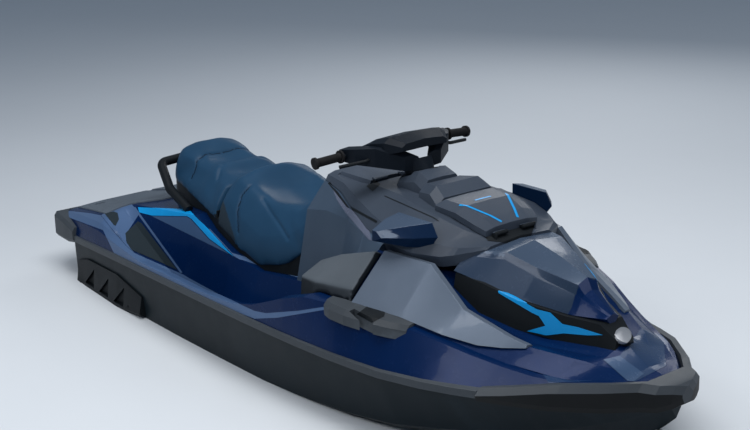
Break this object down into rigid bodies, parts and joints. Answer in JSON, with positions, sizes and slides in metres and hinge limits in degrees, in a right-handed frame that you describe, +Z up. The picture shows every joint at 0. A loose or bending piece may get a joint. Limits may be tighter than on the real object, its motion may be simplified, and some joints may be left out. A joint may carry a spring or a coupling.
{
  "type": "personal watercraft",
  "caption": "Jet-driven personal watercraft with a straddle seat, footwells, swim platform, handlebar, hinged storage lids and a steered jet nozzle.",
  "frame": {"origin": "waterline on the centreline, half way along", "axes": "+X to the bow, +Y to port, +Z up"},
  "size_m": [3.47, 1.2536, 1.168],
  "materials": {
    "navy_gloss": "high gloss moulded skin",
    "panel_gloss": "metallic gloss",
    "hull_charcoal": "satin moulded hull",
    "trim_grey": "grained moulding",
    "black_plastic": "grained moulding",
    "console_grey": "satin moulding",
    "seat_vinyl": "marine vinyl",
    "mat_foam": "grooved foam mat",
    "grip_rubber": "ribbed rubber",
    "mirror_glass": "polished",
    "pump_alloy": "cast alloy",
    "steel": "stainless",
    "engine_alloy": "cast alloy"
  },
  "bodies": {
    "craft": {"hull": "hull_charcoal", "deck_aft": "navy_gloss", "deck_mid": "navy_gloss", "deck_fore": "navy_gloss", "engine": "engine_alloy", "rub_rails": "trim_grey", "bow_bumper": "trim_grey", "stern_bumper": "trim_grey", "sponsons": "black_plastic", "foredeck": "navy_gloss", "side_panels": "panel_gloss", "hood": "panel_gloss", "grille": "black_plastic", "tank_cowl": "navy_gloss", "console": "console_grey", "gauge_pod": "console_grey", "mirrors": "navy_gloss", "mirror_glass": "mirror_glass", "neck": "console_grey", "knee_pods": "black_plastic", "cleats": "trim_grey", "seat_base": "black_plastic", "seat_front": "seat_vinyl", "seat_rear": "seat_vinyl", "grab_handle": "black_plastic", "platform_mats": "mat_foam", "footwell_mats": "mat_foam", "bow_eye": "steel", "stern_eyes": "steel", "pump": "pump_alloy", "ride_plate": "trim_grey", "intake_grate": "pump_alloy", "step_bracket": "steel"},
    "steering": {"handlebar": "console_grey", "bar_pad": "console_grey", "grips": "grip_rubber", "levers": "black_plastic"},
    "lid": {"storage_lid": "console_grey"},
    "glove_lid": {"glovebox_lid": "console_grey"},
    "rotor": {"impeller": "steel"},
    "nozzle": {"steering_nozzle": "pump_alloy"},
    "gate": {"reverse_gate": "black_plastic"},
    "step": {"boarding_step": "steel"}
  },
  "joints": [
    {"name": "steering", "type": "hinge", "parent": "craft", "child": "steering", "pos_m": [0.43, 0, 0.79], "axis": [-0.342, 0, 0.9397], "range_deg": [-20, 20]},
    {"name": "nozzle_swing", "type": "hinge", "parent": "craft", "child": "nozzle", "pos_m": [-1.6, 0, -0.05], "axis": [0, 0, 1], "range_deg": [-20, 20]},
    {"name": "gate_swing", "type": "hinge", "parent": "craft", "child": "gate", "pos_m": [-1.54, 0, -0.05], "axis": [0, -1, 0], "range_deg": [0, 50]},
    {"name": "impeller_spin", "type": "hinge", "parent": "craft", "child": "rotor", "pos_m": [-1.27, 0, -0.05], "axis": [1, 0, 0], "continuous": true},
    {"name": "storage_lid", "type": "hinge", "parent": "craft", "child": "lid", "pos_m": [0.94, 0, 0.68], "axis": [0, 1, 0], "range_deg": [0, 55]},
    {"name": "glovebox_lid", "type": "hinge", "parent": "craft", "child": "glove_lid", "pos_m": [0.275, 0, 0.748], "axis": [0, 1, 0], "range_deg": [0, 70]},
    {"name": "step_fold", "type": "hinge", "parent": "craft", "child": "step", "pos_m": [-1.528, 0, 0.118], "axis": [0, -1, 0], "range_deg": [0, 90]}
  ],
  "couplings": [
    {"joint": "nozzle_swing", "follows": "steering", "ratio": -1}
  ]
}
